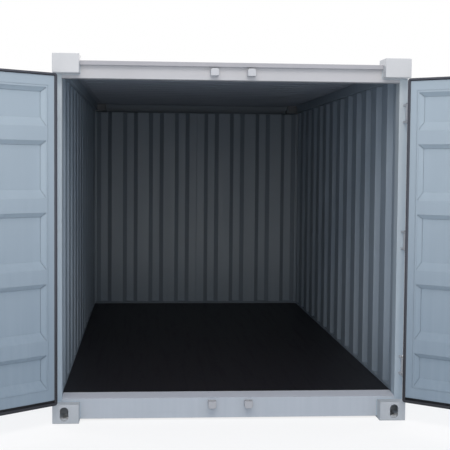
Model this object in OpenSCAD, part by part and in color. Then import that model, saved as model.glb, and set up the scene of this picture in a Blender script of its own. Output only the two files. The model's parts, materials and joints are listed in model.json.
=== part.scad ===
// Storage container: a welded steel box on corner castings, with a pair of doors at one end.
// X runs along it with the doors at +X, Y across it with the left door at -Y, Z up from the ground.
// All sizes are in millimetres. The doors are drawn open; door_open = 0 shuts them.

/* [Overall size] */
// Length over the corner castings
box_l = 4550; // [3400:10:6100]
// Width over the corner castings
box_w = 2200; // [1960:10:2500]
// Height from the ground to the tops of the castings
box_h = 2260; // [2000:10:2900]
// Angle at which both doors stand open
door_open = 140; // [0:1:260]

/* [Corner castings] */
// Length of a casting along the container
cast_l = 178; // [174:1:182]
// Width of a casting across the container
cast_w = 162; // [150:1:170]
// Height of a casting
cast_h = 118; // [110:1:120]
// Thickness of its outer walls
cast_wall = 18; // [12:1:24]
// Thickness of its hidden inner walls
cast_back = 10; // [6:1:12]
// Thickness of the wall with the lock slot
cast_bed = 28; // [20:1:32]
// Length of the lock slot
slot_l = 124.5; // [112:0.5:126]
// Width of the lock slot
slot_w = 63.5; // [55:0.5:65]
// Middle of the lock slot from the casting's end face
slot_end = 101.5; // [99:0.5:103]
// Middle of the lock slot from the casting's side face
slot_side = 89; // [84:1:94]
// Width of the upright holes in the faces
hole_w = 52; // [40:1:60]
// Height of the upright holes in the faces
hole_h = 86; // [70:1:90]
// Middle of the end hole from the casting's side face
hole_side = 72; // [60:1:90]
// Rounding of a casting's outer edges
cast_r = 6; // [3:0.5:8]

/* [Door end] */
// How far the door frame stands behind the castings' faces
setback = 90; // [86:1:96]
// Width of a door post
post_w = 52; // [48:1:58]
// Depth of a door post
post_d = 88; // [70:1:100]
// Wall thickness of the posts
post_t = 6; // [4:0.5:8]
// Front edge of the sill above the ground
sill_z = 137; // [130:1:142]
// Gap under the sill
sill_foot = 10; // [5:1:40]
// Depth of the sloping threshold
sill_d = 130; // [100:1:160]
// Plate thickness of the sill and the header
plate_t = 6; // [4:0.5:8]
// Underside of the header below the castings' tops
header_drop = 142; // [136:1:150]
// Seat of the roof below the castings' tops
roof_drop = 50; // [44:1:56]
// How far the rain gutter stands out
gutter_d = 28; // [15:1:40]
// Height of the rain gutter's lip
gutter_h = 26; // [16:1:30]
// Plate thickness of the rain gutter
gutter_t = 4; // [3:0.5:6]

/* [Base] */
// Gap under the bottom rails
rail_foot = 18; // [10:1:24]
// Width of the bottom rails' foot
rail_w = 40; // [30:1:48]
// Steel thickness of the bottom rails
rail_t = 4; // [3:0.5:6]
// How far the bottom rails stand above the floor
rail_kick = 18; // [8:1:30]
// How far rails and rear posts stand in from the castings' faces
rail_inset = 6; // [0:1:10]
// Top of the floor above the ground
floor_z = 148; // [147:1:156]
// Thickness of the floor
floor_t = 28; // [24:1:30]
// Number of cross members under the floor
cross_n = 12; // [6:1:16]
// Flange width of a cross member
cross_w = 45; // [30:1:60]
// Gap under the cross members
cross_foot = 30; // [28:1:60]

/* [Walls and roof] */
// Thickness of the wall and roof sheets
sheet_t = 2; // [1.5:0.1:3]
// Depth of the folds in the walls
fold_d = 36; // [20:1:38]
// Width of the sloping sides of the folds
fold_run = 40; // [20:1:50]
// Inner face of a side wall from the castings' side face
wall_in = 48; // [46:1:50]
// Number of folds in a side wall
side_folds = 13; // [8:1:16]
// Outer flats of the side wall's folds
side_flat = 100; // [60:1:120]
// Number of folds on each half of the rear wall
rear_folds = 4; // [2:1:4]
// Flat beside the rear wall's outer folds
rear_edge = 16; // [6:1:60]
// Spacing across the seam in the middle of the rear wall
rear_seam = 306; // [250:1:320]
// Outer flats of the rear wall's folds
rear_flat = 70; // [40:1:80]
// Depth of the rear posts
rear_d = 66; // [60:1:80]
// Inner face of the rear wall behind the rear posts' inner faces
rear_in = 19; // [10:1:22]
// Underside of the rear top rail below the castings' tops
rear_drop = 130; // [124:1:160]
// Height and width of the top side rails
top_rail = 68; // [62:1:76]
// Steel thickness of the top side rails
tube_t = 3; // [2:0.5:5]
// Number of pressed ribs in the roof
rib_n = 19; // [10:1:20]
// Width of a roof rib
rib_w = 96; // [60:1:120]
// Height of a roof rib
rib_h = 20; // [10:1:26]
// Width of the sloping sides of a roof rib
rib_run = 24; // [10:1:28]
// Flat border beside the roof ribs
rib_margin = 100; // [80:1:200]

/* [Doors] */
// Thickness of a door leaf
leaf_t = 40; // [36:1:44]
// Steel thickness of a door's frame tubes
leaf_wall = 3; // [2:0.5:5]
// Hinge edge of a leaf from the castings' side face
leaf_edge = 50; // [46:1:54]
// Gap between the two leaves when shut
leaf_gap = 26; // [22:1:36]
// Top edge of a leaf above the header's underside
leaf_lap = 4; // [0:1:6]
// Bottom edge of a leaf above the sill's front edge
leaf_foot = 5; // [4:1:8]
// Width of the upright frame tube on the hinge side
hinge_stile = 54; // [45:1:80]
// Width of the upright frame tube on the lock side
lock_stile = 150; // [140:1:180]
// Height of the level frame tube at a leaf's top
leaf_rail = 64; // [50:1:80]
// Height of the level frame tube at a leaf's foot
leaf_kick = 84; // [60:1:100]
// Flat border of the door panel
pan_border = 12; // [8:1:30]
// Height of the top pan
pan_head = 230; // [180:1:250]
// Height of the bottom pan
pan_foot = 205; // [160:1:230]
// Height of the ridges between pans
pan_ridge = 86; // [82:1:130]
// Depth of the pans
pan_d = 28; // [15:1:30]
// Width of the sloping borders at a pan's sides and top
pan_run = 26; // [12:1:36]
// Width of the sloping border at a pan's foot
pan_ease = 52; // [26:1:70]
// Thickness of the rubber seal
seal_t = 10; // [8:1:11]
// Gap between the seal and the door frame when shut
seal_gap = 6; // [5:1:8]
// How far the seal stands past the leaf
seal_lip = 12; // [8:1:14]
// How far the seal laps onto the leaf
seal_lap = 12; // [6:1:24]
// How far the seal's lip flares out towards the door frame
seal_flare = 8; // [4:1:10]

/* [Hinges] */
// Middle of the outer hinges from the leaf's ends
hinge_end = 198; // [140:1:400]
// Hinge pin behind the castings' faces
hinge_in = 14; // [12:1:16]
// Hinge pin from the castings' side face
hinge_side = 15; // [13:1:16]
// Diameter of a hinge pin
pin_d = 16; // [12:0.5:18]
// Height of a pin's head, and of its end under the lower lug
pin_head = 6; // [4:1:10]
// Play between a pin and its knuckle
pin_play = 0.5; // [0.3:0.1:0.8]
// Diameter of a knuckle
knuckle_d = 30; // [26:1:31]
// Height of a knuckle
knuckle_h = 90; // [60:1:140]
// Gap above and below a knuckle
knuckle_gap = 1.5; // [1:0.5:4]
// Thickness of the lugs on the post
lug_t = 12; // [8:1:20]
// Width of the lugs on the post
lug_w = 24; // [20:1:26]
// Thickness of the hinge blades on the leaf
blade_t = 8; // [6:1:9]
// Length of the hinge blades on the leaf
blade_l = 130; // [80:1:200]
// Height of a hinge blade at its far end
blade_tip = 56; // [40:1:80]

/* [Lock gear] */
// Diameter of a locking bar
bar_d = 27; // [22:1:30]
// Locking bar from the middle of the container
bar_y = 114; // [100:1:130]
// Middle of a locking bar in front of the leaf
bar_out = 25; // [22:1:30]
// Width of a cam keeper
keeper_w = 50; // [40:1:60]
// Height of a cam keeper
keeper_h = 46; // [36:1:48]
// How far a cam keeper stands out
keeper_d = 50; // [30:1:55]
// Plate thickness of a cam keeper
keeper_t = 10; // [6:1:12]
// Gap between a cam keeper and the edge of the seal
keeper_gap = 8; // [6:1:12]
// Rounding of a cam keeper's corners
keeper_r = 14; // [6:1:18]
// Length of a cam
cam_l = 58; // [40:1:70]
// Thickness of a cam at its neck
cam_t = 14; // [10:1:20]
// Thickness of a cam across its claw
cam_claw = 24; // [16:1:26]
// Length of a cam's claw
cam_hook = 20; // [12:1:26]
// Length of a handle
handle_l = 520; // [300:10:560]
// Width of a handle
handle_w = 34; // [24:1:40]
// Thickness of a handle
handle_t = 10; // [8:1:14]
// Steel around the bar in a handle's collar
collar_t = 7; // [5:1:9]
// Depth of the slot in a handle catch
catch_slot = 15; // [12:1:20]
// Height of a bar guide
guide_h = 44; // [30:1:60]
// Steel around the bar in its guides
guide_t = 8; // [6:1:10]
// Width of a bar guide's foot
guide_foot = 64; // [56:1:80]
// Middle of the outer bar guides from the leaf's ends
guide_end = 158; // [60:1:200]

/* [Hidden] */
$fn = 48;
over = 1;                                    // overshoot of cutting shapes
steel = [0.80, 0.82, 0.84];
rubber = [0.07, 0.07, 0.08];
boards = [0.08, 0.08, 0.09];
zinc = [0.66, 0.68, 0.70];

xf = box_l / 2;                              // end face of the castings
yw = box_w / 2;                              // side face of the castings
cast_x = xf - cast_l;                        // inner end of the castings
cast_y = yw - cast_w;                        // inner side of the castings
cast_top = box_h - cast_h;                   // underside of the top castings
face_x = xf - setback;                       // face of the door frame
post_x = face_x - post_d;                    // back of the door posts
door_y = yw - post_w;                        // half width of the door opening
sill_x = face_x - sill_d;                    // back of the threshold
head_z = box_h - header_drop;                // underside of the header
roof_z = box_h - roof_drop;                  // seat of the roof

rail_y = yw - rail_inset;                    // outer face of the side rails
rail_top = floor_z + rail_kick;              // seat of the walls
cross_top = floor_z - floor_t;               // seat of the floor
wall_y = yw - wall_in;                       // inner face of the side walls
wall_top = roof_z - top_rail;                // underside of the top side rails
rear_x = -xf + rail_inset;                   // outer face of the rear end
rear_face = rear_x + rear_d;                 // inner face of the rear posts
rear_wall_x = rear_face - rear_in;           // inner face of the rear wall
rear_head = box_h - rear_drop;               // underside of the rear top rail
side_l = post_x - rear_face;                 // length of a side wall
rear_last = door_y - rear_edge - fold_run - rear_flat / 2;              // middle of an outer fold
rear_pitch = (rear_last - rear_seam / 2) / (rear_folds - 1);            // spacing of the rear folds

leaf_in = face_x + seal_gap + seal_t;        // inner face of a shut leaf
leaf_out = leaf_in + leaf_t;                 // outer face of a shut leaf
leaf_y0 = leaf_gap / 2;                      // lock edge of a leaf
leaf_y1 = yw - leaf_edge;                    // hinge edge of a leaf
leaf_z0 = sill_z + leaf_foot;                // bottom edge of a leaf
leaf_z1 = head_z + leaf_lap;                 // top edge of a leaf
leaf_h = leaf_z1 - leaf_z0;
panel_y0 = leaf_y0 + lock_stile;
panel_y1 = leaf_y1 - hinge_stile;
panel_z0 = leaf_z0 + leaf_kick;
panel_z1 = leaf_z1 - leaf_rail;
pan_n = 5;                                   // pans in a door
pan_w = panel_y1 - panel_y0 - 2 * pan_border;
pan_rest = panel_z1 - panel_z0 - 2 * pan_border - pan_head - pan_foot - (pan_n - 1) * pan_ridge;
pan_mid = pan_rest / (pan_n - 2);             // height of each pan between

hinge_x = xf - hinge_in;
hinge_y = yw - hinge_side;
hinge_zs = [leaf_z0 + hinge_end, (leaf_z0 + leaf_z1) / 2, leaf_z1 - hinge_end];

bar_x = leaf_out + bar_out;
saddle_d = bar_d + 2 * guide_t;
collar_d = bar_d + 2 * collar_t;
sill_keeper_z = leaf_z0 - seal_lip - keeper_gap - keeper_h / 2;
head_keeper_z = leaf_z1 + seal_lip + keeper_gap + keeper_h / 2;
guide_zs = [leaf_z0 + guide_end, ridge_z(0), ridge_z(pan_n - 2), leaf_z1 - guide_end];
handle_z = ridge_z(2);                       // pivot of a handle
catch_y = bar_y + handle_l - handle_w;       // catch that holds a shut handle's end

// Height of a pan in a door, counted from the bottom
function pan_h(i) = i == 0 ? pan_foot : i == pan_n - 1 ? pan_head : pan_mid;
// Bottom of a pan in a door
function pan_z(i) = panel_z0 + pan_border
    + (i == 0 ? 0 : pan_foot + pan_ridge + (i - 1) * (pan_mid + pan_ridge));
// Middle of the ridge above a pan
function ridge_z(i) = pan_z(i) + pan_h(i) + pan_ridge / 2;

// A box given by its two far corners
module span(a, b) translate(a) cube(b - a);

// Children made for the +Y side, put on side s: -1 left, 1 right
module on_side(s) mirror([0, s < 0 ? 1 : 0, 0]) children();

// Children made for a shut right leaf, hung on side s and swung open
module hung(s)
    on_side(s) translate([hinge_x, hinge_y, 0]) rotate([0, 0, door_open])
        translate([-hinge_x, -hinge_y, 0]) children();

// A prism along Y over both halves of the container, from an outline in X and Z
module across(outline, half)
    translate([0, half, 0]) rotate([90, 0, 0]) linear_extrude(2 * half) polygon(outline);

// A round-ended cutter along Z: l long in X, w wide
module slot_cut(l, w, h) {
    for (end = [-1, 1]) translate([end * (l - w) / 2, 0, 0]) cylinder(d = w, h = h);
    translate([-(l - w) / 2, -w / 2, 0]) cube([l - w, w, h]);
}

// The solid of a pressed hump: w by l at its foot, d high, its sides sloping over run, and over ease at +X
module hump(w, l, d, run, t, ease = 0) {
    function trapezoid(size, from, to) = [
        [-size / 2 - from * t / d, -t], [size / 2 + to * t / d, -t],
        [size / 2 - to, d], [-size / 2 + from, d]];
    intersection() {
        translate([0, l / 2 + run, 0]) rotate([90, 0, 0]) linear_extrude(l + 2 * run)
            polygon(trapezoid(w, run, max(run, ease)));
        translate([-w / 2 - run, 0, 0]) rotate([90, 0, 90]) linear_extrude(w + 2 * run)
            polygon(trapezoid(l, run, run));
    }
}

// Outline of a folded sheet along X whose folds stand out in +Y at the given middles
function folded(from, to, middles, flat) =
    let (face = concat([[from, 0]],
        [for (m = middles) each [
            [m - flat / 2 - fold_run, 0], [m - flat / 2, fold_d],
            [m + flat / 2, fold_d], [m + flat / 2 + fold_run, 0]]],
        [[to, 0]]),
        last = len(face) - 1)
    concat(face, [for (i = [last : -1 : 0]) face[i] + [0, sheet_t]]);

// What rounding takes off an upright edge whose solid lies at -X and -Y
module edge_cut(l)
    translate([-cast_r, -cast_r, -over]) difference() {
        cube([cast_r + over, cast_r + over, l + 2 * over]);
        translate([0, 0, -over]) cylinder(r = cast_r, h = l + 4 * over);
    }

// A hollow corner casting at the +X +Y bottom corner of the origin
module casting(end_hole) {
    difference() {
        span([-cast_l, -cast_w, 0], [0, 0, cast_h]);
        edge_cut(cast_h);
        translate([0, -cast_w, 0]) mirror([0, 1, 0]) edge_cut(cast_h);
        for (top = [0, 1]) translate([0, 0, top * cast_h]) mirror([0, 0, 1 - top]) {
            rotate([90, 0, 0]) edge_cut(cast_w);
            rotate([0, -90, 0]) edge_cut(cast_l);
        }
        span([-cast_l + cast_back, -cast_w + cast_back, cast_bed],
            [-cast_wall, -cast_wall, cast_h - cast_back]);
        translate([-slot_end, -slot_side, -over]) slot_cut(slot_l, slot_w, cast_bed + 2 * over);
        translate([-slot_end, -cast_wall - over, cast_h / 2]) rotate([-90, 0, 0])
            rotate([0, 0, 90]) slot_cut(hole_h, hole_w, cast_wall + 2 * over);
        if (end_hole)
            translate([-cast_wall - over, -hole_side, cast_h / 2]) rotate([0, 90, 0])
                slot_cut(hole_h, hole_w, cast_wall + 2 * over);
    }
}

// A pair of castings: end -1 rear or 1 front, top false or true
module casting_pair(end, top, end_hole)
    for (s = [-1, 1])
        on_side(s) translate([end * xf, yw, top ? box_h : 0])
            mirror([end < 0 ? 1 : 0, 0, 0]) mirror([0, 0, top ? 1 : 0]) casting(end_hole);

// The space that the four castings of one end fill, taken out of what runs between them
module casting_space(end)
    for (s = [-1, 1], z = [-over, cast_top])
        on_side(s) translate([end > 0 ? cast_x : -xf - over, cast_y, z])
            cube([cast_l + over, cast_w + over, cast_h + over]);

module front_bottom_castings() color(steel) casting_pair(1, false, true);
module front_top_castings() color(steel) casting_pair(1, true, false);
module rear_bottom_castings() color(steel) casting_pair(-1, false, true);
module rear_top_castings() color(steel) casting_pair(-1, true, false);

// Rectangular tube between the castings of one corner
module post(a, b)
    difference() {
        span(a, b);
        span(a + [post_t, post_t, -over], b + [-post_t, -post_t, over]);
    }

module door_post(s) color(steel) on_side(s) post([post_x, door_y, cast_h], [face_x, yw, cast_top]);
module rear_post(s) color(steel) on_side(s) post([rear_x, door_y, cast_h], [rear_face, rail_y, cast_top]);

// Bent plate: face, sloping threshold and a lip behind it
module door_sill()
    color(steel) difference() {
        across([
            [face_x, sill_foot], [face_x, sill_z], [sill_x, floor_z], [sill_x, cross_top],
            [sill_x + plate_t, cross_top], [sill_x + plate_t, floor_z - plate_t],
            [face_x - plate_t, sill_z - plate_t], [face_x - plate_t, sill_foot]], door_y);
        casting_space(1);
    }

// Bent plate, open to the back
module door_header()
    color(steel) difference() {
        across([
            [face_x, head_z], [face_x, roof_z], [post_x, roof_z], [post_x, roof_z - plate_t],
            [face_x - plate_t, roof_z - plate_t], [face_x - plate_t, head_z + plate_t],
            [post_x, head_z + plate_t], [post_x, head_z]], door_y);
        casting_space(1);
    }

// Folded strip over the header that leads rain to the sides
module rain_gutter()
    color(steel) across([
        [face_x, roof_z - gutter_h / 2], [face_x + gutter_d, roof_z - gutter_h / 2],
        [face_x + gutter_d, roof_z + gutter_h / 2], [face_x + gutter_d - gutter_t, roof_z + gutter_h / 2],
        [face_x + gutter_d - gutter_t, roof_z - gutter_h / 2 + gutter_t],
        [face_x, roof_z - gutter_h / 2 + gutter_t]], cast_y);

// Channel across the rear end, closed on the inside from lip_z up
module rear_rail(z0, z1, lip_z)
    color(steel) difference() {
        across([
            [rear_x, z0], [rear_face, z0], [rear_face, z0 + rail_t], [rear_x + rail_t, z0 + rail_t],
            [rear_x + rail_t, z1 - rail_t], [rear_face - rail_t, z1 - rail_t], [rear_face - rail_t, lip_z],
            [rear_face, lip_z], [rear_face, z1], [rear_x, z1]], door_y);
        casting_space(-1);
    }

module rear_bottom_rail() rear_rail(rail_foot, rail_top, cross_top);
module rear_top_rail() rear_rail(rear_head, roof_z, rear_head + (roof_z - rear_head) / 2);

// Channel from door post to rear post with a lip that the floor butts against
module bottom_rail(s)
    color(steel) on_side(s) difference() {
        translate([rear_face, 0, 0]) rotate([90, 0, 90]) linear_extrude(side_l) polygon([
            [rail_y, rail_foot], [rail_y, rail_top], [wall_y, rail_top], [wall_y, cross_top],
            [wall_y + rail_t, cross_top], [wall_y + rail_t, rail_top - rail_t],
            [rail_y - rail_t, rail_top - rail_t], [rail_y - rail_t, rail_foot + rail_t],
            [rail_y - rail_w, rail_foot + rail_t], [rail_y - rail_w, rail_foot]]);
        casting_space(1);
        casting_space(-1);
    }

// Square tube between two top castings
module top_side_rail(s)
    color(steel) on_side(s) difference() {
        span([-cast_x, rail_y - top_rail, wall_top], [cast_x, rail_y, roof_z]);
        span([-cast_x - over, rail_y - top_rail + tube_t, wall_top + tube_t],
            [cast_x + over, rail_y - tube_t, roof_z - tube_t]);
    }

// Channels from side rail to side rail that carry the floor
module cross_members()
    color(steel) for (i = [1 : cross_n]) {
        x = rear_face + (sill_x - rear_face) * i / (cross_n + 1);
        difference() {
            span([x - cross_w / 2, -rail_y + rail_t, cross_foot],
                [x + cross_w / 2, rail_y - rail_t, cross_top]);
            span([x - cross_w / 2 + rail_t, -rail_y, cross_foot + rail_t],
                [x + cross_w / 2 + over, rail_y, cross_top - rail_t]);
        }
    }

// Dark coated boards from the threshold to the rear wall
module floor_boards()
    color(boards) span([rear_face, -wall_y, cross_top], [sill_x, wall_y, floor_z]);

// Folded sheet between a door post and a rear post
module side_wall(s)
    color(steel) difference() {
        on_side(s) translate([0, wall_y, rail_top]) linear_extrude(wall_top - rail_top)
            polygon(folded(rear_face, post_x,
                [for (i = [0 : side_folds - 1]) rear_face + side_l * (i + 0.5) / side_folds], side_flat));
        casting_space(-1);
    }

// Folded sheet of two halves welded along the middle
module rear_wall() {
    half = [for (i = [0 : rear_folds - 1]) rear_seam / 2 + i * rear_pitch];
    middles = concat([for (i = [rear_folds - 1 : -1 : 0]) -half[i]], half);
    color(steel) translate([rear_wall_x, 0, rail_top]) rotate([0, 0, 90])
        linear_extrude(rear_head - rail_top) polygon(folded(-door_y, door_y, middles, rear_flat));
}

// Flat sheet with ribs pressed up across it
module roof() {
    first = -cast_x + rib_margin + rib_w / 2;
    pitch = (2 * cast_x - 2 * rib_margin - rib_w) / (rib_n - 1);
    rib_l = 2 * (rail_y - rib_margin);
    color(steel) translate([0, 0, roof_z + sheet_t]) difference() {
        union() {
            span([-cast_x, -rail_y, -sheet_t], [cast_x, rail_y, 0]);
            span([rear_x, -cast_y, -sheet_t], [face_x - plate_t, cast_y, 0]);
            for (i = [0 : rib_n - 1])
                translate([first + i * pitch, 0, 0]) hump(rib_w, rib_l, rib_h, rib_run, sheet_t);
        }
        for (i = [0 : rib_n - 1])
            translate([first + i * pitch, 0, -sheet_t]) hump(rib_w, rib_l, rib_h, rib_run, sheet_t);
    }
}

// Welded brackets that a cam turns into: two cheeks and a bridge, rounded on side up: -1 below, 1 above
module keepers(z, up)
    color(steel) for (s = [-1, 1]) on_side(s) translate([face_x, bar_y, z]) mirror([0, 0, up > 0 ? 0 : 1])
        difference() {
            union() {
                span([0, -keeper_w / 2, -keeper_h / 2], [keeper_d, keeper_w / 2, keeper_h / 2 - keeper_r]);
                span([0, -keeper_w / 2 + keeper_r, -keeper_h / 2],
                    [keeper_d, keeper_w / 2 - keeper_r, keeper_h / 2]);
                for (side = [-1, 1])
                    translate([0, side * (keeper_w / 2 - keeper_r), keeper_h / 2 - keeper_r])
                        rotate([0, 90, 0]) cylinder(r = keeper_r, h = keeper_d);
            }
            span([keeper_t, -keeper_w / 2 + keeper_t, -keeper_h / 2 - over],
                [keeper_d - keeper_t, keeper_w / 2 - keeper_t, keeper_h / 2 + over]);
        }

module header_cam_keepers() keepers(head_keeper_z, 1);
module sill_cam_keepers() keepers(sill_keeper_z, -1);

// Heights of the undersides of a hinge's two lugs
function lug_zs(z) = [
    z - knuckle_h / 2 - knuckle_gap - lug_t, z + knuckle_h / 2 + knuckle_gap];

// Plates on the door post that hold the hinge pins
module hinge_lugs(s)
    color(steel) on_side(s) for (z = hinge_zs, lug_z = lug_zs(z))
        translate([0, 0, lug_z]) difference() {
            union() {
                span([face_x, hinge_y - lug_w / 2, 0], [hinge_x, hinge_y + lug_w / 2, lug_t]);
                translate([hinge_x, hinge_y, 0]) cylinder(d = lug_w, h = lug_t);
            }
            translate([hinge_x, hinge_y, -over]) cylinder(d = pin_d, h = lug_t + 2 * over);
        }

// Pins with a flat head that rests on the upper lug
module hinge_pins(s)
    color(zinc) on_side(s) for (z = hinge_zs)
        translate([hinge_x, hinge_y, lug_zs(z)[0] - pin_head]) {
            pin_l = lug_zs(z)[1] - lug_zs(z)[0] + lug_t + pin_head;
            cylinder(d = pin_d, h = pin_l);
            translate([0, 0, pin_l]) cylinder(d = lug_w, h = pin_head);
        }

// Ring of welded rectangular tubes, open at the ends of the uprights
module door_frame(s)
    color(steel) hung(s) difference() {
        span([leaf_in, leaf_y0, leaf_z0], [leaf_out, leaf_y1, leaf_z1]);
        span([leaf_in - over, panel_y0, panel_z0], [leaf_out + over, panel_y1, panel_z1]);
        for (y = [[leaf_y0, panel_y0], [panel_y1, leaf_y1]])
            span([leaf_in + leaf_wall, y[0] + leaf_wall, leaf_z0 - over],
                [leaf_out - leaf_wall, y[1] - leaf_wall, leaf_z1 + over]);
        for (z = [[leaf_z0, panel_z0], [panel_z1, leaf_z1]])
            span([leaf_in + leaf_wall, leaf_y0 + 2 * leaf_wall, z[0] + leaf_wall],
                [leaf_out - leaf_wall, leaf_y1 - 2 * leaf_wall, z[1] - leaf_wall]);
    }

// Sheet flush with the frame's inner face, with pans pressed outwards
module door_panel(s) {
    module pans()
        for (i = [0 : pan_n - 1])
            translate([0, (panel_y0 + panel_y1) / 2, pan_z(i) + pan_h(i) / 2]) rotate([0, 90, 0])
                hump(pan_h(i), pan_w, pan_d, pan_run, sheet_t, pan_ease);
    color(steel) hung(s) translate([leaf_in, 0, 0]) difference() {
        union() {
            span([0, panel_y0, panel_z0], [sheet_t, panel_y1, panel_z1]);
            translate([sheet_t, 0, 0]) pans();
        }
        pans();
    }
}

// Rubber ring around the leaf's inner face, its lip flaring out towards the door frame
module door_seal(s) {
    seal_w = leaf_y1 - leaf_y0 + seal_lip + seal_lip / 2;
    color(rubber) hung(s) difference() {
        translate([leaf_in - seal_t, leaf_y1 + seal_lip - seal_w / 2, (leaf_z0 + leaf_z1) / 2])
            rotate([0, 90, 0]) hump(leaf_h + 2 * seal_lip, seal_w, seal_t, seal_flare, 0);
        span([leaf_in - seal_t - over, leaf_y0 + seal_lap, leaf_z0 + seal_lap],
            [leaf_in + over, leaf_y1 - seal_lap, leaf_z1 - seal_lap]);
    }
}

// Tapered straps on the leaf that end in a knuckle around the pin
module hinge_blades(s)
    color(steel) hung(s) for (z = hinge_zs)
        translate([0, 0, z - knuckle_h / 2]) difference() {
            union() {
                translate([leaf_out, 0, 0]) rotate([90, 0, 90]) linear_extrude(blade_t) polygon([
                    [leaf_y1 - blade_l, (knuckle_h - blade_tip) / 2], [leaf_y1, 0], [hinge_y, 0],
                    [hinge_y, knuckle_h], [leaf_y1, knuckle_h],
                    [leaf_y1 - blade_l, (knuckle_h + blade_tip) / 2]]);
                translate([hinge_x, hinge_y, 0]) cylinder(d = knuckle_d, h = knuckle_h);
                linear_extrude(knuckle_h) polygon([
                    [leaf_out, leaf_y1], [leaf_out, hinge_y], [hinge_x, hinge_y + knuckle_d / 2],
                    [hinge_x, hinge_y - knuckle_d / 2], [leaf_out + blade_t, leaf_y1]]);
            }
            translate([hinge_x, hinge_y, -over]) cylinder(d = pin_d + 2 * pin_play, h = knuckle_h + 2 * over);
        }

// Round bar with a clawed cam at each end, turned clear of the keepers
module locking_bar(s)
    color(zinc) hung(s) translate([bar_x, bar_y, 0]) {
        translate([0, 0, sill_keeper_z - keeper_h / 2])
            cylinder(d = bar_d, h = head_keeper_z - sill_keeper_z + keeper_h);
        for (z = [sill_keeper_z, head_keeper_z])
            translate([0, 0, z - keeper_h / 2]) {
                linear_extrude(keeper_h) polygon([
                    [-bar_d / 2, 0], [bar_d / 2, 0], [cam_t / 2, cam_l - cam_hook],
                    [cam_claw / 2, cam_l - cam_t / 2], [cam_t / 2, cam_l], [-cam_t / 2, cam_l],
                    [-cam_claw / 2, cam_l - cam_t / 2], [-cam_t / 2, cam_l - cam_hook]]);
            }
    }

// Saddles on the lock stile that the bar turns in
module bar_guides(s)
    color(steel) hung(s) for (z = guide_zs)
        translate([0, bar_y, z - guide_h / 2]) difference() {
            union() {
                span([leaf_out, -guide_foot / 2, 0], [leaf_out + plate_t, guide_foot / 2, guide_h]);
                span([leaf_out, -saddle_d / 2, 0], [bar_x, saddle_d / 2, guide_h]);
                translate([bar_x, 0, 0]) cylinder(d = saddle_d, h = guide_h);
            }
            translate([bar_x, 0, -over]) cylinder(d = bar_d, h = guide_h + 2 * over);
        }

// Collar on the bar with a flat handle that hangs down in front of it
module locking_handle(s) {
    front = bar_x + collar_d / 2;
    color(zinc) hung(s) difference() {
        union() {
            translate([bar_x, bar_y, handle_z - handle_w / 2]) cylinder(d = collar_d, h = handle_w);
            span([bar_x, bar_y - handle_w / 2, handle_z - handle_w / 2],
                [front, bar_y + handle_w / 2, handle_z + handle_w / 2]);
            translate([front, bar_y, handle_z]) rotate([0, 90, 0])
                cylinder(d = handle_w, h = handle_t);
            span([front, bar_y - handle_w / 2, handle_z - handle_l],
                [front + handle_t, bar_y + handle_w / 2, handle_z]);
            translate([front, bar_y, handle_z - handle_l]) rotate([0, 90, 0])
                cylinder(d = handle_w, h = handle_t);
        }
        translate([bar_x, bar_y, handle_z - handle_w]) cylinder(d = bar_d, h = 2 * handle_w);
        translate([front - over, bar_y, handle_z - handle_l]) rotate([0, 90, 0])
            cylinder(d = handle_w / 2, h = handle_t + 2 * over);
    }
}

// Bracket on the door panel that takes the end of a shut handle
module handle_catch(s)
    color(steel) hung(s) translate([leaf_in + sheet_t, catch_y, handle_z]) difference() {
        depth = bar_x + bar_d - leaf_in;
        union() {
            span([0, -handle_w, -handle_w], [plate_t, handle_w, handle_w]);
            span([0, -handle_w / 2, -handle_w], [depth, handle_w / 2, handle_w]);
        }
        span([depth - catch_slot, -handle_w, -handle_w / 2 - over],
            [depth + over, handle_w, handle_w / 2 + over]);
    }

front_bottom_castings();
front_top_castings();
rear_bottom_castings();
rear_top_castings();
door_post(-1);  // left_door_post
door_post(1);  // right_door_post
rear_post(-1);  // left_rear_post
rear_post(1);  // right_rear_post
door_sill();
door_header();
rain_gutter();
rear_bottom_rail();
rear_top_rail();
bottom_rail(-1);  // left_bottom_rail
bottom_rail(1);  // right_bottom_rail
top_side_rail(-1);  // left_top_rail
top_side_rail(1);  // right_top_rail
cross_members();
floor_boards();  // floor
side_wall(-1);  // left_wall
side_wall(1);  // right_wall
rear_wall();
roof();
header_cam_keepers();
sill_cam_keepers();
hinge_lugs(-1);  // left_hinge_lugs
hinge_lugs(1);  // right_hinge_lugs
hinge_pins(-1);  // left_hinge_pins
hinge_pins(1);  // right_hinge_pins
door_frame(-1);  // left_door_frame
door_panel(-1);  // left_door_panel
door_seal(-1);  // left_door_seal
hinge_blades(-1);  // left_hinge_blades
locking_bar(-1);  // left_locking_bar
bar_guides(-1);  // left_bar_guides
locking_handle(-1);  // left_locking_handle
handle_catch(-1);  // left_handle_catch
door_frame(1);  // right_door_frame
door_panel(1);  // right_door_panel
door_seal(1);  // right_door_seal
hinge_blades(1);  // right_hinge_blades
locking_bar(1);  // right_locking_bar
bar_guides(1);  // right_bar_guides
locking_handle(1);  // right_locking_handle
handle_catch(1);  // right_handle_catch
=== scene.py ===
import json

import bmesh
import bpy
import numpy as np
from mathutils import Matrix, Vector


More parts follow.
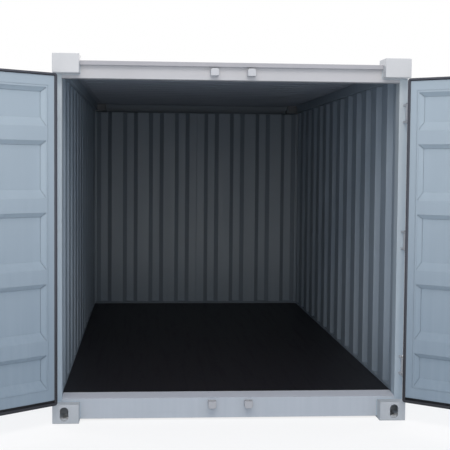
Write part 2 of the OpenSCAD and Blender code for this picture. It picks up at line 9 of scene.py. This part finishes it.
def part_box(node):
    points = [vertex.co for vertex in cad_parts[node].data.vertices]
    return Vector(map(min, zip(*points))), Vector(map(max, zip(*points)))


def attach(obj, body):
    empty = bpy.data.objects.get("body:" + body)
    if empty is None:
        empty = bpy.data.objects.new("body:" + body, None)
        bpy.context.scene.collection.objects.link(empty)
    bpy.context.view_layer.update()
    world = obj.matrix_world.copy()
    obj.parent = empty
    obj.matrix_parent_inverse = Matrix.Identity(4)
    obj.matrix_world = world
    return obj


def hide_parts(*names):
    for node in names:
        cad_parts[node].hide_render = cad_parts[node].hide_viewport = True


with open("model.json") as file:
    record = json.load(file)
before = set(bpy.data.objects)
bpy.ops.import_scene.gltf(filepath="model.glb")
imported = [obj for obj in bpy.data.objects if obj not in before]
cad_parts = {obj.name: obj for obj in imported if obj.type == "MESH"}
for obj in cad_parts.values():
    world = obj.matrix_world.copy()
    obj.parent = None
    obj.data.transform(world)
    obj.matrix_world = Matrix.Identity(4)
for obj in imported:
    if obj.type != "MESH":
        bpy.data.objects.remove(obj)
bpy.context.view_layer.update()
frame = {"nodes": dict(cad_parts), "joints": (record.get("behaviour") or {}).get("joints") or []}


# Corner castings.
# Eight hollow steel castings carry the stacking and lifting loads. They are sand cast, ground on the seams,
# welded to the posts and rails and sprayed with the same light grey topcoat as the frame, in a lighter tone
# that paints in the light on their proud faces; their bluish soil near the ground is partly painted shade.
def linear(hex_colour):
    """Turns an sRGB hex colour into the linear RGBA that the shader takes."""
    srgb = np.array([int(hex_colour[i:i + 2], 16) for i in (0, 2, 4)]) / 255.0
    rgb = np.where(srgb <= 0.04045, srgb / 12.92, ((srgb + 0.055) / 1.055) ** 2.4)
    return (*rgb.tolist(), 1.0)


def add(tree, kind, settings=None, **sockets):
    """Adds one shader node. Sockets are named with _ for a space, or _0, _1 for a place in the list;
    each takes a value or another node's output."""
    made = tree.nodes.new("ShaderNode" + kind)
    for name, value in (settings or {}).items():
        setattr(made, name, value)
    for name, value in sockets.items():
        socket = made.inputs[int(name[1:]) if name[1:].isdigit() else name.replace("_", " ")]
        if isinstance(value, bpy.types.NodeSocket):
            tree.links.new(value, socket)
        else:
            socket.default_value = value
    return made


def new_material(name):
    """Starts a material. Gives it with its node tree, its shader and its Object coordinates."""
    made = bpy.data.materials.new(name)
    made.use_nodes = True
    tree = made.node_tree
    return made, tree, tree.nodes["Principled BSDF"], add(tree, "TexCoord").outputs["Object"]


def painted_steel(name, colour, patch, soil_and_shade_colour, soil_and_shade, soil_and_shade_top, wear, grain, grain_depth,
                  bend=0.003, clean_and_lit_tops=0.0):
    """Sprayed two-part topcoat on steel: satin, slightly uneven, darker and tinted near the ground by soil
    and by painted shade. patch is the size of its clouds, grain and grain_depth are those of its orange peel,
    and bend is the radius of its edges, all in metres. The height up to which the soil and shade reach is in
    metres. Their share, the wear, and how clear of them the upper faces are kept, are shares from 0 to 1."""
    made, tree, shader, place = new_material(name)
    # soil and painted shade lie heaviest near the ground, in bands where rain and dust run down
    run_width, run_length, high_share = 0.04, 1.4, 0.12
    bands = add(tree, "Mapping", Vector=place,
                Scale=(1 / run_width, 1 / run_width, 1 / run_length)).outputs[0]
    runs = add(tree, "TexNoise", Vector=bands, Scale=1.0, Detail=3.0, Roughness=0.65).outputs["Fac"]
    height = add(tree, "SeparateXYZ", Vector=place).outputs["Z"]
    low = add(tree, "MapRange", {"interpolation_type": "SMOOTHSTEP"}, Value=height,
              From_Min=0.0, From_Max=soil_and_shade_top, To_Min=1.0, To_Max=high_share).outputs[0]
    ragged = add(tree, "MapRange", Value=runs, From_Min=0.3, From_Max=0.72,
                 To_Min=0.86, To_Max=1.0).outputs[0]
    flat = add(tree, "NewGeometry").outputs["True Normal"]
    # upper faces are kept clear of soil and painted shade: trodden clean, and a painted highlight of the
    # light from above
    upward = add(tree, "SeparateXYZ", Vector=flat).outputs["Z"]
    kept = add(tree, "MapRange", Value=upward, From_Min=0.5, From_Max=0.9,
               To_Min=1.0, To_Max=1 - clean_and_lit_tops).outputs[0]
    soiled_and_shaded = soil_and_shade
    for share in (low, ragged, kept):
        soiled_and_shaded = add(tree, "Math", {"operation": "MULTIPLY"}, _0=soiled_and_shaded, _1=share).outputs[0]
    # the coat is darker where it is thin
    thin_share = 0.86
    full = linear(colour)
    thin = (*(thin_share * part for part in full[:3]), 1.0)
    clouds = add(tree, "TexNoise", Vector=place, Scale=1 / patch, Detail=4.0, Roughness=0.6).outputs["Fac"]
    tone = add(tree, "Mix", {"data_type": "RGBA"}, _0=clouds, _6=thin, _7=full).outputs[2]
    tone = add(tree, "Mix", {"data_type": "RGBA"}, _0=soiled_and_shaded, _6=tone, _7=linear(soil_and_shade_colour)).outputs[2]
    # pressed and cast edges are round, and the coat is rubbed through along them in chips
    chip_size, bare_steel = 0.02, linear("6E6A66")
    rounded = add(tree, "Bevel", {"samples": 6}, Radius=bend).outputs[0]
    turned = add(tree, "VectorMath", {"operation": "DOT_PRODUCT"}, _0=rounded, _1=flat).outputs["Value"]
    edge = add(tree, "MapRange", Value=turned, From_Min=0.985, From_Max=0.8,
               To_Min=0.0, To_Max=wear).outputs[0]
    chips = add(tree, "TexNoise", Vector=place, Scale=1 / chip_size, Detail=3.0).outputs["Fac"]
    chips = add(tree, "MapRange", Value=chips, From_Min=0.45, From_Max=0.6).outputs[0]
    rubbed = add(tree, "Math", {"operation": "MULTIPLY"}, _0=edge, _1=chips).outputs[0]
    tone = add(tree, "Mix", {"data_type": "RGBA"}, _0=rubbed, _6=tone, _7=bare_steel).outputs[2]
    tree.links.new(tone, shader.inputs["Base Color"])
    # the soil and shade share also takes the shine off
    gloss = add(tree, "MapRange", Value=runs, From_Min=0.25, From_Max=0.75,
                To_Min=0.40, To_Max=0.56).outputs[0]
    gloss = add(tree, "Math", {"operation": "ADD", "use_clamp": True}, _0=gloss, _1=soiled_and_shaded).outputs[0]
    tree.links.new(gloss, shader.inputs["Roughness"])
    # orange peel is about 2 mm in the real coat and is drawn coarser here so that it shows
    peel = add(tree, "TexNoise", Vector=place, Scale=1 / grain, Detail=2.0).outputs["Fac"]
    bump = add(tree, "Bump", Strength=0.35, Distance=grain_depth, Height=peel, Normal=rounded).outputs[0]
    tree.links.new(bump, shader.inputs["Normal"])
    shader.inputs["IOR"].default_value = 1.5
    return made


def finish_nodes(material, *names):
    """Puts a material on the slots of CAD nodes."""
    for name in names:
        for slot in frame["nodes"][name].material_slots:
            slot.material = material


cast_paint = painted_steel("topcoat_on_cast_steel", "E1E2E1", patch=0.22, soil_and_shade_colour="9DA9B2", soil_and_shade=0.5,
                           soil_and_shade_top=0.9, wear=0.55, grain=0.007, grain_depth=0.0012)
finish_nodes(cast_paint, "front_bottom_castings", "front_top_castings", "rear_bottom_castings")


# Posts.
# Four upright corner posts of folded plate, welded between the castings, blasted, primed and sprayed light
# grey. They are painted a bluish tone that deepens towards the ground, partly soil and partly painted shade
# where the open doors screen them.
def plate_paint(name, colour, soil_and_shade_colour, clean_and_lit_tops=0.0):
    """The topcoat on the frame's folded plate and tube, in a tone of its own for each piece that paints in
    the light and shade falling on it.
    """
    return painted_steel(name, colour, patch=0.5, soil_and_shade_colour=soil_and_shade_colour, soil_and_shade=0.42, soil_and_shade_top=2.6, wear=0.35,
                         grain=0.012, grain_depth=0.0007, clean_and_lit_tops=clean_and_lit_tops)


post_paint = plate_paint("topcoat_on_folded_plate", "CFD7D9", "91ADC3")
finish_nodes(post_paint, "left_door_post", "right_door_post", "left_rear_post", "right_rear_post")


# Door sill.
# A beam of folded plate between the lower castings, with a threshold that slopes out. It has the same coat
# as the posts in a lighter tone, painted light, and its top is kept clear of soil and shade: trodden clean
# by what is carried in and out, and a painted highlight of the light from above.
finish_nodes(plate_paint("trodden_and_lit_topcoat_on_sill_plate", "DFE2E8", "8FA2AA", clean_and_lit_tops=1.0), "door_sill")


# Header and rain gutter.
# A rectangular tube closes the top of the doorway, and a folded strip welded on it leads the rain away. Both
# are sprayed with the frame, each in a tone of its own that paints in the light on it, the strip's darker
# tone painting shade.
finish_nodes(plate_paint("topcoat_on_header_tube", "D0CFCF", "90A7BA"), "door_header")
finish_nodes(plate_paint("topcoat_on_gutter_strip", "BCBBBD", "8297AB"), "rain_gutter")


# Cross members.
# Cold-formed channels welded between the bottom rails under the floor. They get a thick underbody coat,
# duller and darker than the topcoat.
underbody = painted_steel("underbody_coat", "8F9396", patch=0.3, soil_and_shade_colour="5B5955", soil_and_shade=0.6,
                          soil_and_shade_top=0.2, wear=0.2, grain=0.015, grain_depth=0.0016)
finish_nodes(underbody, "cross_members")


# Floor.
# Film-faced plywood sheets laid on the cross members. The phenolic film is near black, smooth and a little
# shiny, with faint scuffs along the way in and the mark of the press's wire mesh.
scuff_length, scuff_width = 0.9, 0.05
sheet_width, sheet_length, joint_width = 1.22, 2.44, 0.0018
mesh_pitch, mesh_depth = 0.006, 0.0005
film_black, scuff_black, joint_black = linear("161419"), linear("1B191F"), linear("0A0A0B")
film, tree, shader, place = new_material("phenolic_film_on_plywood")
lanes = add(tree, "Mapping", Vector=place, Scale=(1 / scuff_length, 1 / scuff_width, 1.0)).outputs[0]
scuffs = add(tree, "TexNoise", Vector=lanes, Scale=1.0, Detail=5.0, Roughness=0.7).outputs["Fac"]
scuffs = add(tree, "MapRange", Value=scuffs, From_Min=0.5, From_Max=0.85).outputs[0]
sheet_joint = add(tree, "TexBrick", {"offset": 0.0}, Vector=place, Scale=1.0, Mortar_Size=joint_width,
                  Mortar_Smooth=0.2, Brick_Width=sheet_width, Row_Height=sheet_length).outputs["Fac"]
tone = add(tree, "Mix", {"data_type": "RGBA"}, _0=scuffs, _6=film_black, _7=scuff_black).outputs[2]
tone = add(tree, "Mix", {"data_type": "RGBA"}, _0=sheet_joint, _6=tone, _7=joint_black).outputs[2]
tree.links.new(tone, shader.inputs["Base Color"])
gloss = add(tree, "MapRange", Value=scuffs, To_Min=0.50, To_Max=0.6).outputs[0]
tree.links.new(gloss, shader.inputs["Roughness"])
mesh_mark = add(tree, "TexVoronoi", {"feature": "DISTANCE_TO_EDGE"}, Vector=place,
                Scale=1 / mesh_pitch).outputs[0]
bump = add(tree, "Bump", Strength=0.2, Distance=mesh_depth, Height=mesh_mark).outputs[0]
tree.links.new(bump, shader.inputs["Normal"])
shader.inputs["Specular IOR Level"].default_value = 0.3
finish_nodes(film, "floor")


# Floor screws.
# Countersunk self-tapping screws hold the sheets to each cross member. Their black phosphated heads stand a
# hair above the film.
def surface(name, grids, material, looped=False):
    """Joins grids of points into one mesh: each grid is an array rows x columns x 3, with a quad between
    neighbours. Every row closes on itself, and in a looped piece the last row joins the first. Points that
    coincide are merged."""
    points, quads, start = [], [], 0
    for grid in grids:
        rows, columns = grid.shape[:2]
        index = np.arange(rows * columns).reshape(rows, columns) + start
        index = np.concatenate([index, index[:1]], 0) if looped else index
        index = np.concatenate([index, index[:, :1]], 1)
        corners = index[:-1, :-1], index[1:, :-1], index[1:, 1:], index[:-1, 1:]
        quads.append(np.stack(corners, -1).reshape(-1, 4))
        points.append(grid.reshape(-1, 3))
        start += rows * columns
    mesh = bpy.data.meshes.new(name)
    mesh.from_pydata(np.concatenate(points), [], np.concatenate(quads))
    shape = bmesh.new()
    shape.from_mesh(mesh)
    bmesh.ops.remove_doubles(shape, verts=shape.verts, dist=1e-6)
    bmesh.ops.recalc_face_normals(shape, faces=shape.faces)
    shape.to_mesh(mesh)
    shape.free()
    mesh.polygons.foreach_set("use_smooth", np.ones(len(mesh.polygons), bool))
    mesh.materials.append(material)
    piece = bpy.data.objects.new(name, mesh)
    bpy.context.scene.collection.objects.link(piece)
    return piece


def node_box(name):
    """Gives the lowest and highest corner of a CAD node as arrays."""
    low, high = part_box(name)
    return np.array(low), np.array(high)


def screw_heads(centres, radius, rise):
    """Turns a shallow dome about Z at each centre: height = rise * (1 - (r / radius) ** 2)."""
    rings, spokes = 4, 12
    reach = np.linspace(0.0, 1.0, rings)[:, None]
    turn = np.linspace(0.0, 2 * np.pi, spokes, endpoint=False)[None, :]
    dome = np.stack([radius * reach * np.cos(turn), radius * reach * np.sin(turn),
                     rise * (1 - reach ** 2) + 0 * turn], -1)
    return [centre + dome for centre in centres]


mottle_size, dark, worn = 0.004, linear("17171A"), linear("2B2B2E")
phosphate, tree, shader, place = new_material("phosphated_screw_steel")
mottle = add(tree, "TexNoise", Vector=place, Scale=1 / mottle_size).outputs["Fac"]
tone = add(tree, "Mix", {"data_type": "RGBA"}, _0=mottle, _6=dark, _7=worn).outputs[2]
tree.links.new(tone, shader.inputs["Base Color"])
shader.inputs["Metallic"].default_value = 0.6
shader.inputs["Roughness"].default_value = 0.55
cross_count, screws_across = 12, 15
head_radius, head_rise, edge_gap = 0.0065, 0.0011, 0.06
floor_low, floor_high = node_box("floor")
steps = np.arange(1, cross_count + 1) / (cross_count + 1)
row_x = floor_low[0] + (floor_high[0] - floor_low[0]) * steps
lane_y = np.linspace(floor_low[1] + edge_gap, floor_high[1] - edge_gap, screws_across)
spots = np.stack(np.meshgrid(row_x, lane_y, floor_high[2], indexing="ij"), -1).reshape(-1, 3)
floor_screws = surface("floor_screws", screw_heads(spots, head_radius, head_rise), phosphate)
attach(floor_screws, "container")


# Side walls, rear wall and rails.
# Two-millimetre sheet folded on a press brake into upright trapezoid corrugations, welded all round to the
# rails. Inside and out they have the same thin light grey coat, slightly bluish, in a darker tone than the
# roof's and the doors' that paints in the shade inside the box.
def sheet_coat(name, colour, patch, soil_and_shade_colour, soil_and_shade, soil_and_shade_top):
    """The thin topcoat on folded and pressed sheet, which has wide bends and no edges that rub bare."""
    return painted_steel(name, colour, patch, soil_and_shade_colour, soil_and_shade, soil_and_shade_top, wear=0.0, grain=0.03,
                         grain_depth=0.0006, bend=0.008)


def shade_inside(name, paint, face, flank):
    """Copies a paint and paints shade on it where it faces the room, to +X: by the share face + flank * |y|,
    where y is the slant of the surface's normal."""
    # the dark blue-grey painted over the inward faces as shade
    overlay = linear("3A4048")
    made = paint.copy()
    made.name = name
    tree = made.node_tree
    base = tree.nodes["Principled BSDF"].inputs["Base Color"]
    unshaded = base.links[0].from_socket
    flat = add(tree, "NewGeometry").outputs["True Normal"]
    normal = add(tree, "SeparateXYZ", Vector=flat).outputs
    inward = add(tree, "Math", {"operation": "GREATER_THAN"}, _0=normal["X"], _1=0.0).outputs[0]
    slant = add(tree, "Math", {"operation": "ABSOLUTE"}, _0=normal["Y"]).outputs[0]
    share = add(tree, "Math", {"operation": "MULTIPLY_ADD"}, _0=slant, _1=flank, _2=face).outputs[0]
    share = add(tree, "Math", {"operation": "MULTIPLY"}, _0=share, _1=inward).outputs[0]
    tone = add(tree, "Mix", {"data_type": "RGBA"}, _0=share, _6=unshaded, _7=overlay).outputs[2]
    tree.links.new(tone, base)
    return made


sheet_paint = sheet_coat("topcoat_on_folded_sheet", "A5B2BC", 0.7, "6E7D89", soil_and_shade=0.42, soil_and_shade_top=0.7)
finish_nodes(sheet_paint, "left_wall", "right_wall", "left_bottom_rail", "right_bottom_rail",
             "left_top_rail", "right_top_rail")
# at the far end painted shade darkens the flanks of the folds, and the rails and castings round them
shaded_sheet = shade_inside("shaded_topcoat_on_folded_sheet", sheet_paint, face=0.0, flank=0.34)
shaded_rail = shade_inside("shaded_topcoat_on_rails", sheet_paint, face=0.4, flank=0.0)
shaded_casting = shade_inside("shaded_topcoat_on_cast_steel", cast_paint, face=0.78, flank=0.0)
finish_nodes(shaded_sheet, "rear_wall")
finish_nodes(shaded_rail, "rear_bottom_rail", "rear_top_rail")
finish_nodes(shaded_casting, "rear_top_castings")


# Roof.
# One sheet with shallow ribs pressed across it, welded on the top rails. Its coat is a little lighter than
# the walls', painted light on the ceiling inside.
roof_paint = sheet_coat("topcoat_on_pressed_roof", "B7BEC8", 0.7, "7B8692", soil_and_shade=0.42, soil_and_shade_top=0.7)
finish_nodes(roof_paint, "roof")


# Weld beads.
# Hand-laid fillet welds close the joints of the skeleton and the seam down the middle of the rear wall. They
# are painted over, so only their ripples show.
def weld(lines, leg, ripple):
    """Lays a bead along each straight line: rings of radius leg * (dip + (1 - dip) |sin(pi s / ripple)|),
    where s is the distance from the line's start, closing to a point over one leg at both ends."""
    dip, rings_per_ripple, fewest_rings, spokes = 0.82, 4, 12, 8
    askew = (0.36, 0.48, 0.8)  # a direction that no seam runs along
    turn = np.linspace(0.0, 2 * np.pi, spokes, endpoint=False)[None, :, None]
    grids = []
    for start, end in np.asarray(lines, float):
        length = np.linalg.norm(end - start)
        along = (end - start) / length
        side = np.cross(along, askew)
        side /= np.linalg.norm(side)
        rings = max(fewest_rings, int(length / ripple * rings_per_ripple))
        s = np.linspace(0.0, length, rings)[:, None, None]
        taper = np.sqrt(np.clip(np.minimum(s, length - s) / leg, 0.0, 1.0))
        radius = leg * (dip + (1 - dip) * np.abs(np.sin(np.pi * s / ripple))) * taper
        ring = np.cos(turn) * side + np.sin(turn) * np.cross(along, side)
        grids.append(start + s * along + radius * ring)
    return grids


casting_width, leg = 0.162, 0.0045
frame_ripple, wall_ripple = 0.012, 0.014
post_low, post_high = node_box("right_door_post")
sill_low, sill_high = node_box("door_sill")
rear_low, rear_high = node_box("rear_wall")
wall_low, wall_high = node_box("right_wall")
back, front = post_low[0], post_high[0]
post_foot, post_top = post_low[2], post_high[2]
sill_x = sill_high[0]
header_x, _, header_top = node_box("door_header")[1]
frame_seams = []
for side in (-1, 1):
    inner, outer = side * post_low[1], side * post_high[1]
    casting = side * (post_high[1] - casting_width)
    wall = side * wall_low[1]
    for z in (post_foot, post_top):
        frame_seams += [[(front, inner, z), (front, outer, z)],
                        [(back, inner, z), (front, inner, z)]]
    frame_seams += [[(sill_x, casting, sill_low[2]), (sill_x, casting, post_foot)],
                    [(header_x, casting, post_top), (header_x, casting, header_top)],
                    [(sill_x, casting, post_foot), (sill_x, inner, post_foot)],
                    [(header_x, casting, post_top), (header_x, inner, post_top)],
                    [(back, wall, wall_low[2]), (back, wall, wall_high[2])]]
rear_seams = [[(rear_high[0], 0, rear_low[2]), (rear_high[0], 0, rear_high[2])]]
frame_welds = surface("frame_welds", weld(frame_seams, leg, frame_ripple), post_paint)
rear_seam = surface("rear_wall_seam", weld(rear_seams, leg, wall_ripple), sheet_paint)
for bead in (frame_welds, rear_seam):
    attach(bead, "container")


# Cam keepers, hinge lugs, hinge blades, bar guides and handle catches.
# Small forged and cut-plate fittings, welded on and sprayed with the frame, so their edges rub bare first.
fitting_paint = painted_steel("topcoat_on_forged_fittings", "D2D4D6", patch=0.15, soil_and_shade_colour="85868A",
                              soil_and_shade=0.35, soil_and_shade_top=0.4, wear=0.7, grain=0.008, grain_depth=0.0008)
finish_nodes(fitting_paint, "header_cam_keepers", "sill_cam_keepers", "left_hinge_lugs", "right_hinge_lugs",
             "left_hinge_blades", "right_hinge_blades", "left_bar_guides", "right_bar_guides",
             "left_handle_catch", "right_handle_catch")


# Hinge pins, locking bars and handles.
# Turned pins, drawn round bar and flat bar, hot-dip galvanised, so they have a dull spangled silver skin.
spangle_size, run_size, run_depth, edge_radius = 0.012, 0.03, 0.0006, 0.0015
dull, bright = linear("8E9296"), linear("B4B8BC")
zinc, tree, shader, place = new_material("hot_dip_zinc_on_steel")
spangle = add(tree, "TexVoronoi", Vector=place, Scale=1 / spangle_size).outputs["Color"]
spangle = add(tree, "RGBToBW", Color=spangle).outputs[0]
tone = add(tree, "Mix", {"data_type": "RGBA"}, _0=spangle, _6=dull, _7=bright).outputs[2]
tree.links.new(tone, shader.inputs["Base Color"])
gloss = add(tree, "MapRange", Value=spangle, To_Min=0.34, To_Max=0.56).outputs[0]
tree.links.new(gloss, shader.inputs["Roughness"])
runs = add(tree, "TexNoise", Vector=place, Scale=1 / run_size, Detail=3.0).outputs["Fac"]
rounded = add(tree, "Bevel", {"samples": 4}, Radius=edge_radius).outputs[0]
bump = add(tree, "Bump", Strength=0.2, Distance=run_depth, Height=runs, Normal=rounded).outputs[0]
tree.links.new(bump, shader.inputs["Normal"])
shader.inputs["Metallic"].default_value = 1.0
finish_nodes(zinc, "left_hinge_pins", "right_hinge_pins", "left_locking_bar", "right_locking_bar",
             "left_locking_handle", "right_locking_handle")


# Doors.
# Each leaf is a ring of rectangular tube with one sheet that has five wide pans pressed into it, welded into
# the ring and sprayed a bluish grey like the walls' coat. Its own lighter, bluer tone paints in the sky light
# on the open leaves, and it darkens towards the ground with soil and painted shade.
door_paint = sheet_coat("topcoat_on_pressed_door", "B8C7D0", 0.6, "708394", soil_and_shade=0.58, soil_and_shade_top=2.0)
finish_nodes(door_paint, "left_door_frame", "right_door_frame", "left_door_panel", "right_door_panel")


# Door seals.
# An extruded strip of black EPDM rubber runs round each leaf: a clip foot on the leaf and a bulb with a lip
# that folds against the posts, the sill and the header. Its corners are vulcanised round.
def rounded_outline(points, rounds):
    """Rounds a closed outline by cutting its corners: each edge gives points at 1/4 and 3/4 of its length."""
    for _ in range(rounds):
        ahead = np.roll(points, -1, 0)
        points = np.stack([0.75 * points + 0.25 * ahead, 0.25 * points + 0.75 * ahead], 1).reshape(-1, 2)
    return points


def seal_ring(outline, low, high, radius, face, wide_foot):
    """Carries an outline (outwards, off the leaf) round a rectangle with rounded corners: at each place on
    the path the point is the path's point plus outwards along its normal, and off the leaf along -X. On the
    bottom run the foot, which has outwards < 0, is made wider by the factor wide_foot."""
    steps = 9
    quarter = np.linspace(0.0, np.pi / 2, steps)
    angle = np.concatenate([quarter + k * np.pi / 2 for k in range(4)])
    normal = np.stack([np.cos(angle), np.sin(angle)], -1)
    corners = np.array([(high[0], high[1]), (low[0], high[1]), (low[0], low[1]), (high[0], low[1])])
    inwards = np.array([(-1, -1), (1, -1), (1, 1), (-1, 1)])
    path = np.repeat(corners + radius * inwards, steps, 0) + radius * normal
    below = np.clip(-normal[:, None, 1:], 0.0, 1.0) * (outline[None, :, :1] < 0.0)
    yz = path[:, None, :] + outline[None, :, :1] * (1 + (wide_foot - 1) * below) * normal[:, None, :]
    x = face - outline[None, :, 1:] + 0 * yz[..., :1]
    return np.concatenate([x, yz], -1)


bloom_size, dust_share = 0.05, 0.42
fade_low, fade_top, fade_share = 0.15, 1.2, 0.12
fresh, bloomed, dusty = linear("17181D"), linear("2A2C33"), linear("9094A0")
rubber, tree, shader, place = new_material("extruded_epdm_rubber")
bloom = add(tree, "TexNoise", Vector=place, Scale=1 / bloom_size, Detail=4.0).outputs["Fac"]
tone = add(tree, "Mix", {"data_type": "RGBA"}, _0=bloom, _6=fresh, _7=bloomed).outputs[2]
# dust settles where the strip faces up, and it thins out towards the ground, so the strip is darker there
upward = add(tree, "SeparateXYZ", Vector=add(tree, "NewGeometry").outputs["Normal"]).outputs["Z"]
overlay = add(tree, "MapRange", Value=upward, From_Min=-0.8, From_Max=1.0,
           To_Min=0.0, To_Max=dust_share).outputs[0]
height = add(tree, "SeparateXYZ", Vector=place).outputs["Z"]
ground_thinning = add(tree, "MapRange", {"interpolation_type": "SMOOTHSTEP"}, Value=height,
          From_Min=fade_low, From_Max=fade_top, To_Min=fade_share, To_Max=1.0).outputs[0]
overlay = add(tree, "Math", {"operation": "MULTIPLY"}, _0=overlay, _1=ground_thinning).outputs[0]
tone = add(tree, "Mix", {"data_type": "RGBA"}, _0=overlay, _6=tone, _7=dusty).outputs[2]
tree.links.new(tone, shader.inputs["Base Color"])
gloss = add(tree, "MapRange", Value=bloom, From_Min=0.3, From_Max=0.7, To_Min=0.5, To_Max=0.72).outputs[0]
tree.links.new(gloss, shader.inputs["Roughness"])
shader.inputs["Specular IOR Level"].default_value = 0.4
# the leaf's size is read with the door turned shut, and the strip is made there and turned open again
joint = next(row for row in frame["joints"] if row["child"] == "right_door")
hinge, door_open = Vector(joint["pos_m"]), np.radians(-joint["range_deg"][0])
swing = Matrix.Translation(hinge) @ Matrix.Rotation(door_open, 4, "Z") @ Matrix.Translation(-hinge)
turn, shift = np.array(swing.to_3x3()), np.array(swing.translation)
leaf = frame["nodes"]["right_door_frame"].data
opened = np.empty(3 * len(leaf.vertices))
leaf.vertices.foreach_get("co", opened)
shut = (opened.reshape(-1, 3) - shift) @ turn
inset, corner_radius, lip, foot, depth = 0.006, 0.006, 0.012, 0.005, 0.010
leaf_low, leaf_high = shut.min(0) + (0, inset, 0), shut.max(0) - (0, inset, 0)
outline = rounded_outline(np.array([
    (-foot, 0.0), (-foot, 0.4 * depth), (-0.4 * foot, 0.5 * depth), (-0.1 * lip, 0.95 * depth),
    (0.35 * lip, depth), (0.7 * lip, 0.8 * depth), (lip, depth), (lip, 0.6 * depth),
    (0.6 * lip, 0.35 * depth), (0.4 * lip, 0.0)]), rounds=2)
ring = seal_ring(outline, leaf_low[1:], leaf_high[1:], corner_radius, face=leaf_low[0], wide_foot=4.0)
ring = ring @ turn.T + shift
for side, sign in (("left", -1), ("right", 1)):
    finish_nodes(rubber, side + "_door_seal")
    seal = surface(side + "_seal_strip", [ring * (1, sign, 1)], rubber, looped=True)
    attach(seal, side + "_door")
    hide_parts(side + "_door_seal")


# Studio.
# A wide pale floor runs off to a white backdrop. Three soft lamps stand in front of the open doors, one of
# them high above, three more stand behind the box, and a cool white surround fills the rest.
def seen_share(tree):
    """Gives 1 for rays from the camera, a reflection or glass, and 0 for rays that light other surfaces."""
    rays = add(tree, "LightPath").outputs
    seen = rays["Is Camera Ray"]
    for kind in ("Is Glossy Ray", "Is Transmission Ray"):
        seen = add(tree, "Math", {"operation": "MAXIMUM"}, _0=seen, _1=rays[kind]).outputs[0]
    return seen


half, drop = 400.0, 0.001
near, far, near_share, white_strength = 4.0, 22.0, 0.72, 1.09
floor_mesh = bpy.data.meshes.new("studio_floor")
floor_mesh.from_pydata([(x * half, y * half, -drop) for x, y in ((-1, -1), (1, -1), (1, 1), (-1, 1))],
                       [], [(0, 1, 2, 3)])
studio_floor = bpy.data.objects.new("studio_floor", floor_mesh)
bpy.context.scene.collection.objects.link(studio_floor)
pale = bpy.data.materials.new("pale_studio_floor")
pale.use_nodes = True
tree = pale.node_tree
tree.nodes.clear()
seen = seen_share(tree)
# near the box the floor shows its shadow, and further off it turns as white as the backdrop
place = add(tree, "TexCoord").outputs["Object"]
distance = add(tree, "VectorMath", {"operation": "LENGTH"}, _0=place).outputs["Value"]
share = add(tree, "MapRange", {"interpolation_type": "SMOOTHSTEP"}, Value=distance,
            From_Min=near, From_Max=far, To_Min=near_share, To_Max=1.0).outputs[0]
share = add(tree, "Math", {"operation": "MULTIPLY"}, _0=seen, _1=share).outputs[0]
cloth = add(tree, "Mix", {"data_type": "RGBA"}, _0=seen, _6=linear("ECEDEE"), _7=linear("F2F2F2")).outputs[2]
matt = add(tree, "BsdfDiffuse", Color=cloth).outputs[0]
white = add(tree, "Emission", Color=(1, 1, 1, 1), Strength=white_strength).outputs[0]
mixed = add(tree, "MixShader", _0=share, _1=matt, _2=white).outputs[0]
add(tree, "OutputMaterial", Surface=mixed)
floor_mesh.materials.append(pale)

world = bpy.data.worlds.new("white_surround")
world.use_nodes = True
tree = world.node_tree
tree.nodes.clear()
fill = add(tree, "Background", Color=linear("D6E6FF"), Strength=0.54).outputs[0]
backdrop = add(tree, "Background", Color=(1, 1, 1, 1), Strength=1.0).outputs[0]
mixed = add(tree, "MixShader", _0=seen_share(tree), _1=fill, _2=backdrop).outputs[0]
add(tree, "OutputWorld", Surface=mixed)
bpy.context.scene.world = world

warm_white = linear("FFF6EE")[:3]
# each lamp's name, place, aim, size in metres and power in watts
softboxes = (("door_softbox", (6.6, -0.3, 5.8), (2.2, 0.0, 1.2), (5.0, 3.0), 157.0),
             ("front_softbox", (11.5, -0.3, 3.7), (2.0, 0.0, 1.2), (5.0, 2.0), 102.0),
             ("level_softbox", (10.5, -0.3, 2.0), (-1.0, 0.0, 1.3), (3.0, 1.6), 39.0),
             ("left_softbox", (-6.5, -7.0, 4.6), (-0.5, -1.1, 1.2), (5.0, 3.0), 400.0),
             ("right_softbox", (-6.5, 7.0, 4.6), (-0.5, 1.1, 1.2), (5.0, 3.0), 400.0),
             ("rear_softbox", (-9.5, 3.0, 4.5), (-2.2, 0.0, 1.2), (4.0, 3.0), 160.0))
for name, stand, aim, size, power in softboxes:
    lamp = bpy.data.lights.new(name, "AREA")
    lamp.shape = "RECTANGLE"
    lamp.size, lamp.size_y = size
    lamp.energy = power
    lamp.color = warm_white
    softbox = bpy.data.objects.new(name, lamp)
    softbox.location = stand
    softbox.rotation_euler = (Vector(aim) - Vector(stand)).to_track_quat("-Z", "Y").to_euler()
    bpy.context.scene.collection.objects.link(softbox)


# Camera.
# It stands in front of the doors, left of the middle and at chest height, and is turned a little to the
# right, down and askew, as the photograph was taken. The picture and the focal length are in pixels.
picture, focal = 450.0, 1040.6
eye = (8.635, -0.541, 1.593)
yaw, pitch, roll = np.radians((4.431, 3.282, 0.49))
level, upright = Vector((-np.cos(yaw), np.sin(yaw), 0.0)), Vector((0.0, 0.0, 1.0))
right = Vector((np.sin(yaw), np.cos(yaw), 0.0))
up = level * np.sin(pitch) + upright * np.cos(pitch)
ahead = level * np.cos(pitch) - upright * np.sin(pitch)
axes = Matrix((right * np.cos(roll) + up * np.sin(roll), up * np.cos(roll) - right * np.sin(roll), -ahead))
lens = bpy.data.cameras.new("photo_camera")
lens.sensor_width = 36.0
lens.lens = lens.sensor_width * focal / picture
lens.clip_end = 200.0
camera = bpy.data.objects.new("photo_camera", lens)
camera.matrix_world = Matrix.Translation(eye) @ axes.transposed().to_4x4()
bpy.context.scene.collection.objects.link(camera)
bpy.context.scene.camera = camera
bpy.context.scene.view_settings.view_transform = "Standard"
